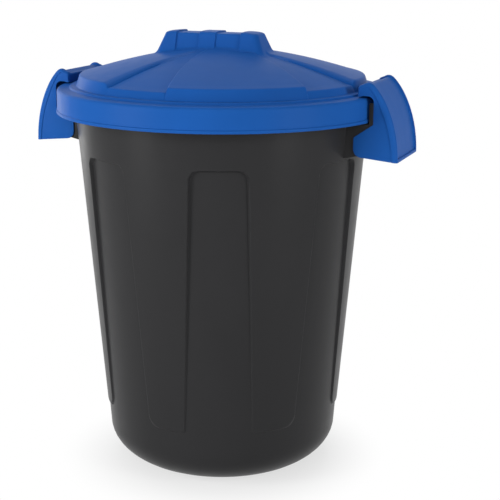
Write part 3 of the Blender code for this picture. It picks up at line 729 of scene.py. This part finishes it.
def rim_lines():
    """The lid's outer line from the dome's edge down to the skirt's foot, over a low wedge and over a raised
    sector, with as many points each."""
    lines = []
    for height_at, wall_foot in ((wedge_height, 0.1971), (sector_height, 0.1978)):
        shoulder = height_at(DOME_RADIUS) + 0.0006
        corners = [
            (0.1840, height_at(0.1840), 0),
            (0.1925, shoulder, SHOULDER_ROUNDING),
            (wall_foot, RING_HEIGHT, 0.0016),
            (0.2056, RING_HEIGHT, 0.0014),
            (0.2068, LEDGE_HEIGHT, 0.0012),
            (SKIRT_RADIUS, LEDGE_HEIGHT, 0.0046),
            (SKIRT_RADIUS, LID_LOW.z + 0.0046, 0.0006),
            (LID_RADIUS, LID_LOW.z + 0.0038, 0.0006),
            (LID_RADIUS, LID_LOW.z, 0.0007),
            (LID_RADIUS - 0.0016, LID_LOW.z, 0),
        ]
        lines.append(rounded(corners))
    return lines


def lid_shell():
    grip = grip_rows()
    dome = list(np.linspace(MORPH_RADIUS, DOME_FLAT_RADIUS, 17))
    wedge_line, sector_line = rim_lines()
    total = len(grip) + len(dome) + len(wedge_line)
    sheet, places = spun(total, LID_COLUMNS)
    turn_lists = {}

    def turns_at(radius):
        key = round(radius, 5)
        if key not in turn_lists:
            turn_lists[key] = lid_turns(key)
        return turn_lists[key]

    circle = turns_at(MORPH_RADIUS)
    start = min(range(LID_COLUMNS), key=lambda i: apart(circle[i], GRIP_START))
    for vert, row, column in places:
        shifted = (column + start) % LID_COLUMNS
        if row < len(grip):
            angle = circle[shifted]
            ring = (MORPH_RADIUS * math.cos(angle), MORPH_RADIUS * math.sin(angle))
            vert.co = grip_place(grip[row], column, ring)
            continue
        if row < len(grip) + len(dome):
            radius = dome[row - len(grip)]
            angle = turns_at(radius)[shifted]
            x, y = radius * math.cos(angle), radius * math.sin(angle)
            vert.co = (x, y, dome_height(x, y))
            continue
        low, high = wedge_line[row - len(grip) - len(dome)], sector_line[row - len(grip) - len(dome)]
        angle = turns_at(min(low[0], DOME_RADIUS))[shifted]
        share = on_sector(min(low[0], DOME_RADIUS), angle)
        radius, height = mix(low[0], high[0], share), mix(low[1], high[1], share)
        vert.co = (radius * math.cos(angle), radius * math.sin(angle), height)
    bmesh.ops.remove_doubles(sheet, verts=sheet.verts, dist=MM * 0.01)
    face_outwards(sheet, (0.19, 0, 0.545), (0, 0, 1))
    return sheet


# Handles

def handle_line():
    """The handle's outer line in X and Z, from its foot up over the crown and down the hook."""
    near_foot = (0, 0.010, 0.018, 0.023, 0.0255, 0.028, 0.0305, 0.033, 0.0365, 0.045)
    shares = list(near_foot) + list(np.linspace(0.06, 1, 30))
    back = bezier(((0.2600, 0.4464), (0.2600, 0.4900), (0.2440, 0.5270), (0.2265, 0.5440)), shares)
    crown_line = bezier(
        ((0.2265, 0.5440), (0.2232, 0.5472), (0.2182, 0.5486), (0.2135, 0.5453)), np.linspace(0, 1, 9))
    hook = rounded([(0.2135, 0.5453, 0), (0.2060, 0.5425, 0.0050), (0.2060, 0.5290, 0)], 7)
    line = back + crown_line[1:] + hook[1:-1]
    return line + [(0.2060, 0.5345), (0.2060, 0.5315), (0.2060, 0.5290)]


RECESS = 0.0028
CHEEK_STEP = 0.0009
# How wide the rounded band along the cheek's outer edge is, at distances from the handle's foot
BAND_AT = (0.0, 0.020, 0.070, 0.098, 0.114, 0.131, 0.139)
BAND_WIDTH = (0.0072, 0.0085, 0.0095, 0.0072, 0.0054, 0.0034, 0.0022)


def across_stations():
    """Places across the handle's back, from its middle to the cheek: how far along Y, how much of the
    panel's recess, and how far in from the outer line as a share of the band."""
    half = HALF_HANDLE
    stations = [(y, 1.0, 0.0) for y in np.linspace(0, half - 0.0066, 9)]
    stations += [(half - 0.0066 + d * MM, 1 - ease(d, 0.1, 0.9), 0.0) for d in (0.2, 0.4, 0.6, 0.8, 1.0)]
    for angle in np.linspace(0, 90, 10)[1:]:
        turn = math.radians(angle)
        stations.append((half - 0.0052 * (1 - math.sin(turn)), 0.0, 0.80 * (1 - math.cos(turn))))
    stations += [
        (half, 0.0, 0.86), (half - 0.00008, 0.0, 0.90), (half - 0.00065, 0.0, 0.95),
        (half - CHEEK_STEP, 0.0, 1.0)]
    return [(-y, p, b) for y, p, b in stations[:0:-1]] + stations


def cheek_path():
    """The cheek's free edge from the hook's tip round the notch and the lobe to the foot."""
    return rounded([
        (0.2084, 0.5290, 0),
        (0.2100, 0.5290, 0),
        (0.2140, 0.5300, 0),
        (0.2274, 0.5300, 0.0080),
        (0.2274, 0.4940, 0.0030),
        (0.2020, 0.4765, 0.0030),
        (0.2015, 0.4519, 0.0110),
        (0.2500, 0.44735, 0),
        (0.2515, 0.4472, 0),
    ], 7)[1:-1]


def handle_shell():
    line = handle_line()
    stations = across_stations()
    sheet = bmesh.new()
    bmesh.ops.create_grid(sheet, x_segments=len(line) - 1, y_segments=len(stations) - 1, size=1)
    sheet.verts.ensure_lookup_table()
    spots = {}
    for vert in sheet.verts:
        i = round((vert.co.x + 1) / 2 * (len(line) - 1))
        j = round((vert.co.y + 1) / 2 * (len(stations) - 1))
        spots[i, j] = vert
    run = [0.0]
    for a, b in zip(line, line[1:]):
        run.append(run[-1] + math.dist(a, b))
    xs, zs = zip(*line)
    outs = []
    for distance in run:
        near = [max(distance - 0.0022, 0), min(distance + 0.0022, run[-1])]
        steps = [np.diff(np.interp(near, run, values))[0] for values in (xs, zs)]
        along = Vector(steps).normalized()
        outs.append(Vector((along.y, -along.x)))
    for (i, j), vert in spots.items():
        outwards = outs[i]
        y, recess, share = stations[j]
        from_foot = ease(run[i], 0.0034, 0.0044)
        from_hook = ease(run[-1] - run[i], 0.0120, 0.0150)
        inwards = share * float(np.interp(run[i], BAND_AT, BAND_WIDTH))
        spot = Vector(line[i]) - outwards * (inwards + RECESS * recess * from_foot * from_hook)
        spot.y += 0.094 * inwards * max(1 - run[i] / 0.008, 0)
        vert.co = (spot.x, y, spot.y)
    for j, side in ((0, -1), (len(stations) - 1, 1)):
        edge = [spots[i, j] for i in range(len(line))]
        path = [sheet.verts.new((x, side * (HALF_HANDLE - CHEEK_STEP), z)) for x, z in cheek_path()]
        cheek = sheet.faces.new(edge + path)
        bmesh.ops.inset_region(sheet, faces=[cheek], thickness=0.0008, use_even_offset=True)
    face_outwards(sheet, (0.2600, 0, 0.4700), (1, 0, 0))
    bmesh.ops.triangulate(sheet, faces=[f for f in sheet.faces if len(f.verts) > 4])
    return sheet


def handle_stubs():
    return [
        rod(0.0050, 0.0475, HALF_HANDLE - 0.0015, (PIVOT_X, PIVOT_Z)),
        rod(0.0050, -HALF_HANDLE + 0.0015, -0.0475, (PIVOT_X, PIVOT_Z)),
    ]


def make_handle(node, material, turn):
    name = node + "_moulding"
    sheets = [handle_shell()]
    if turn:
        sheets = [turned_round(s) for s in sheets]
    piece = object_from(name, sheets)
    walled(piece, 0.0020, 0.0005)
    flat = piece.modifiers.new("flat_faces", "WEIGHTED_NORMAL")
    flat.keep_sharp = True
    bake(piece, 40)
    stubs = handle_stubs()
    if turn:
        stubs = [turned_round(s) for s in stubs]
    joined = bmesh.new()
    joined.from_mesh(piece.data)
    for stub in stubs:
        part = bpy.data.meshes.new(name + "_stub")
        stub.to_mesh(part)
        stub.free()
        part.shade_smooth()
        part.set_sharp_from_angle(angle=math.radians(40))
        joined.from_mesh(part)
        bpy.data.meshes.remove(part)
    joined.to_mesh(piece.data)
    joined.free()
    dress(piece, material, node, node)


# Add-on classes

class BucketSettings(bpy.types.PropertyGroup):
    wall: bpy.props.FloatProperty(
        name="Wall", description="Thickness of the bucket's wall", default=0.0024, unit="LENGTH")
    colour: bpy.props.FloatVectorProperty(
        name="Colour", description="Colour of the bucket's plastic", default=linear("29292A"), size=3,
        min=0, max=1, subtype="COLOR")


class LidSettings(bpy.types.PropertyGroup):
    wall: bpy.props.FloatProperty(
        name="Wall", description="Thickness of the lid's wall", default=0.0023, unit="LENGTH")
    colour: bpy.props.FloatVectorProperty(
        name="Colour", description="Colour of the lid and handles", default=linear("1A5099"), size=3,
        min=0, max=1, subtype="COLOR")


class StageSettings(bpy.types.PropertyGroup):
    distance: bpy.props.FloatProperty(
        name="Distance", description="Camera's distance from the can's axis", default=1.735, unit="LENGTH")
    height: bpy.props.FloatProperty(
        name="Height", description="Camera's height over the floor", default=0.726, unit="LENGTH")
    azimuth: bpy.props.FloatProperty(
        name="Azimuth", description="Camera's turn round the can from its front",
        default=math.radians(22.0), subtype="ANGLE")
    lens: bpy.props.FloatProperty(
        name="Lens", description="Focal length in millimetres, on a sensor 36 mm wide", default=91.60)


class TRASHCAN_OT_bucket(bpy.types.Operator):
    """Makes the bucket with its recessed panels, rim and handle brackets"""
    bl_idname = "trash_can.bucket"
    bl_label = "Bucket"

    def execute(self, context):
        settings = context.scene.trash_can_bucket
        material = moulded_plastic(
            "polypropylene_charcoal_moulded", tuple(settings.colour), roughness=0.36, shine=0.09, grain=0.25,
            mottle=0.04)
        piece = object_from("bucket_moulding", [bucket_shell()])
        walled(piece, settings.wall)
        bake(piece)
        right = bracket()
        brackets = object_from("bracket", right + [turned_round(p) for p in bracket()])
        joined = bmesh.new()
        joined.from_mesh(piece.data)
        brackets.data.shade_smooth()
        brackets.data.set_sharp_from_angle(angle=math.radians(38))
        joined.from_mesh(brackets.data)
        joined.to_mesh(piece.data)
        joined.free()
        bpy.data.objects.remove(brackets)
        dress(piece, material, "bucket", "bucket")
        return {"FINISHED"}


def blue_plastic(name, settings):
    """The lid's and handles' plastic, a little duller than the bucket's."""
    return moulded_plastic(
        name, tuple(settings.colour), roughness=0.42, shine=0.03, grain=0.20, mottle=0.03)


class TRASHCAN_OT_lid(bpy.types.Operator):
    """Makes the domed lid with its raised sectors and its grip"""
    bl_idname = "trash_can.lid"
    bl_label = "Lid"

    def execute(self, context):
        settings = context.scene.trash_can_lid
        material = blue_plastic("polypropylene_blue_lid", settings)
        piece = object_from("lid_moulding", [lid_shell()])
        walled(piece, settings.wall)
        bake(piece)
        dress(piece, material, "lid", "lid")
        return {"FINISHED"}


class TRASHCAN_OT_handles(bpy.types.Operator):
    """Makes the two handles that hook over the lid's rim"""
    bl_idname = "trash_can.handles"
    bl_label = "Handles"

    def execute(self, context):
        settings = context.scene.trash_can_lid
        material = blue_plastic("polypropylene_blue_handle", settings)
        for node, turn in (("handle_right", False), ("handle_left", True)):
            make_handle(node, material, turn)
        return {"FINISHED"}


class TRASHCAN_OT_stage(bpy.types.Operator):
    """Makes the floor, the lights and the camera"""
    bl_idname = "trash_can.stage"
    bl_label = "Stage"

    def execute(self, context):
        make_stage(context.scene.trash_can_stage)
        return {"FINISHED"}


class TRASHCAN_PT_panel(bpy.types.Panel):
    """Lists the can's makers"""
    bl_idname = "TRASHCAN_PT_panel"
    bl_label = "Trash can"
    bl_space_type = "VIEW_3D"
    bl_region_type = "UI"
    bl_category = "Trash can"

    def draw(self, context):
        for owner, names in (
                (context.scene.trash_can_bucket, ("wall", "colour")),
                (context.scene.trash_can_lid, ("wall", "colour")),
                (context.scene.trash_can_stage, ("distance", "height", "azimuth", "lens"))):
            for name in names:
                self.layout.prop(owner, name)
        for operator in (TRASHCAN_OT_bucket, TRASHCAN_OT_lid, TRASHCAN_OT_handles, TRASHCAN_OT_stage):
            self.layout.operator(operator.bl_idname)


def softbox(name, turn, tilt, distance, size, power):
    """A soft area light. Its turn is to the camera's right, its tilt is up, both seen from the can."""
    lamp = bpy.data.lights.new(name, "AREA")
    lamp.shape = "RECTANGLE"
    lamp.size, lamp.size_y = size
    lamp.energy = power
    made = bpy.data.objects.new(name, lamp)
    turn, tilt = math.radians(turn), math.radians(tilt)
    away = Vector((math.sin(turn) * math.cos(tilt), -math.cos(turn) * math.cos(tilt), math.sin(tilt)))
    made.location = away * distance + Vector((0, 0, 0.32))
    made.rotation_euler = away.to_track_quat("Z", "Y").to_euler()
    bpy.context.scene.collection.objects.link(made)


# Turn, tilt, distance, width and height, watts
LIGHTS = {
    "left_softbox": (-62, 8, 2.2, (0.6, 1.6), 45),
    "right_softbox": (48, 8, 2.2, (0.5, 1.6), 28),
    "back_strip": (-140, 4, 2.0, (0.5, 1.8), 8),
    "back_glow": (180, 24, 2.3, (1.6, 0.4), 0.8),
    "front_softbox": (-8, 24, 2.4, (1.2, 1.0), 9.5),
    "top_softbox": (180, 68, 2.2, (1.6, 1.0), 18),
}


def sees_background(tree):
    """1 for the rays that show the white background: from the camera, from gloss and through glass."""
    path = add_node(tree, "ShaderNodeLightPath").outputs
    gloss = add_node(
        tree, "ShaderNodeMath", {"operation": "MAXIMUM"},
        {0: path["Is Glossy Ray"], 1: path["Is Transmission Ray"]})
    seen = add_node(
        tree, "ShaderNodeMath", {"operation": "MAXIMUM"}, {0: path["Is Camera Ray"], 1: gloss.outputs[0]})
    return seen.outputs[0]


def studio_floor():
    """A pale matt floor that fades to plain white away from the can. It keeps the can's shadow."""
    sheet = bmesh.new()
    bmesh.ops.create_grid(sheet, x_segments=1, y_segments=1, size=8)
    floor = object_from("floor", [sheet])
    paint = bpy.data.materials.new("studio_floor_paint")
    paint.use_nodes = True
    tree = paint.node_tree
    tree.nodes.clear()
    seen = sees_background(tree)
    spots = add_node(tree, "ShaderNodeTexCoord")
    reach = add_node(tree, "ShaderNodeVectorMath", {"operation": "LENGTH"}, {0: spots.outputs["Object"]})
    far = add_node(
        tree, "ShaderNodeMapRange",
        {"interpolation_type": "SMOOTHSTEP", "From Min": 0.12, "From Max": 0.24, "To Min": FLOOR_GLOW,
         "To Max": 1.0},
        {"Value": reach.outputs["Value"]})
    share = add_node(
        tree, "ShaderNodeMath", {"operation": "MULTIPLY"}, {0: far.outputs["Result"], 1: seen})
    matt = add_node(tree, "ShaderNodeBsdfDiffuse", {"Color": (0.85, 0.85, 0.85, 1)})
    glow = add_node(tree, "ShaderNodeEmission", {"Color": (1, 1, 1, 1), "Strength": 1.0})
    both = add_node(
        tree, "ShaderNodeMixShader", None,
        {0: share.outputs[0], 1: matt.outputs[0], 2: glow.outputs[0]})
    add_node(tree, "ShaderNodeOutputMaterial", None, {"Surface": both.outputs[0]})
    floor.data.materials.append(paint)


def studio_world(scene):
    """White behind the can and in its gloss, and a dimmer room for the light that the can gathers."""
    world = bpy.data.worlds.new("studio")
    scene.world = world
    world.use_nodes = True
    sky = world.node_tree
    sky.nodes.clear()
    level = add_node(
        sky, "ShaderNodeMapRange", {"To Min": 0.18, "To Max": 1.0}, {"Value": sees_background(sky)})
    air = add_node(
        sky, "ShaderNodeBackground", {"Color": (1, 1, 1, 1)}, {"Strength": level.outputs["Result"]})
    add_node(sky, "ShaderNodeOutputWorld", None, {"Surface": air.outputs["Background"]})


def make_stage(settings):
    scene = bpy.context.scene
    scene.view_settings.view_transform = "Standard"
    studio_floor()
    studio_world(scene)
    turn = settings.azimuth
    for name, (aside, tilt, distance, size, power) in LIGHTS.items():
        softbox(name, math.degrees(turn) + aside, tilt, distance, size, power)
    lens = bpy.data.cameras.new("camera")
    lens.lens = settings.lens
    lens.sensor_width = 36
    camera = bpy.data.objects.new("camera", lens)
    camera.location = (
        settings.distance * math.sin(turn), -settings.distance * math.cos(turn), settings.height)
    look = Matrix.Rotation(turn - CAMERA_YAW, 3, "Z") @ Matrix.Rotation(math.pi / 2 - CAMERA_PITCH, 3, "X")
    camera.rotation_euler = (look @ Matrix.Rotation(CAMERA_ROLL, 3, "Z")).to_euler()
    scene.collection.objects.link(camera)
    scene.camera = camera


CLASSES = (
    BucketSettings, LidSettings, StageSettings, TRASHCAN_OT_bucket, TRASHCAN_OT_lid, TRASHCAN_OT_handles,
    TRASHCAN_OT_stage, TRASHCAN_PT_panel)


def register():
    for item in CLASSES:
        bpy.utils.register_class(item)
    bpy.types.Scene.trash_can_bucket = bpy.props.PointerProperty(type=BucketSettings)
    bpy.types.Scene.trash_can_lid = bpy.props.PointerProperty(type=LidSettings)
    bpy.types.Scene.trash_can_stage = bpy.props.PointerProperty(type=StageSettings)


def unregister():
    del bpy.types.Scene.trash_can_bucket
    del bpy.types.Scene.trash_can_lid
    del bpy.types.Scene.trash_can_stage
    for item in reversed(CLASSES):
        bpy.utils.unregister_class(item)


def main():
    register()
    bpy.ops.trash_can.bucket()
    bpy.ops.trash_can.lid()
    bpy.ops.trash_can.handles()
    bpy.ops.trash_can.stage()


if __name__ == "__main__":
    main()
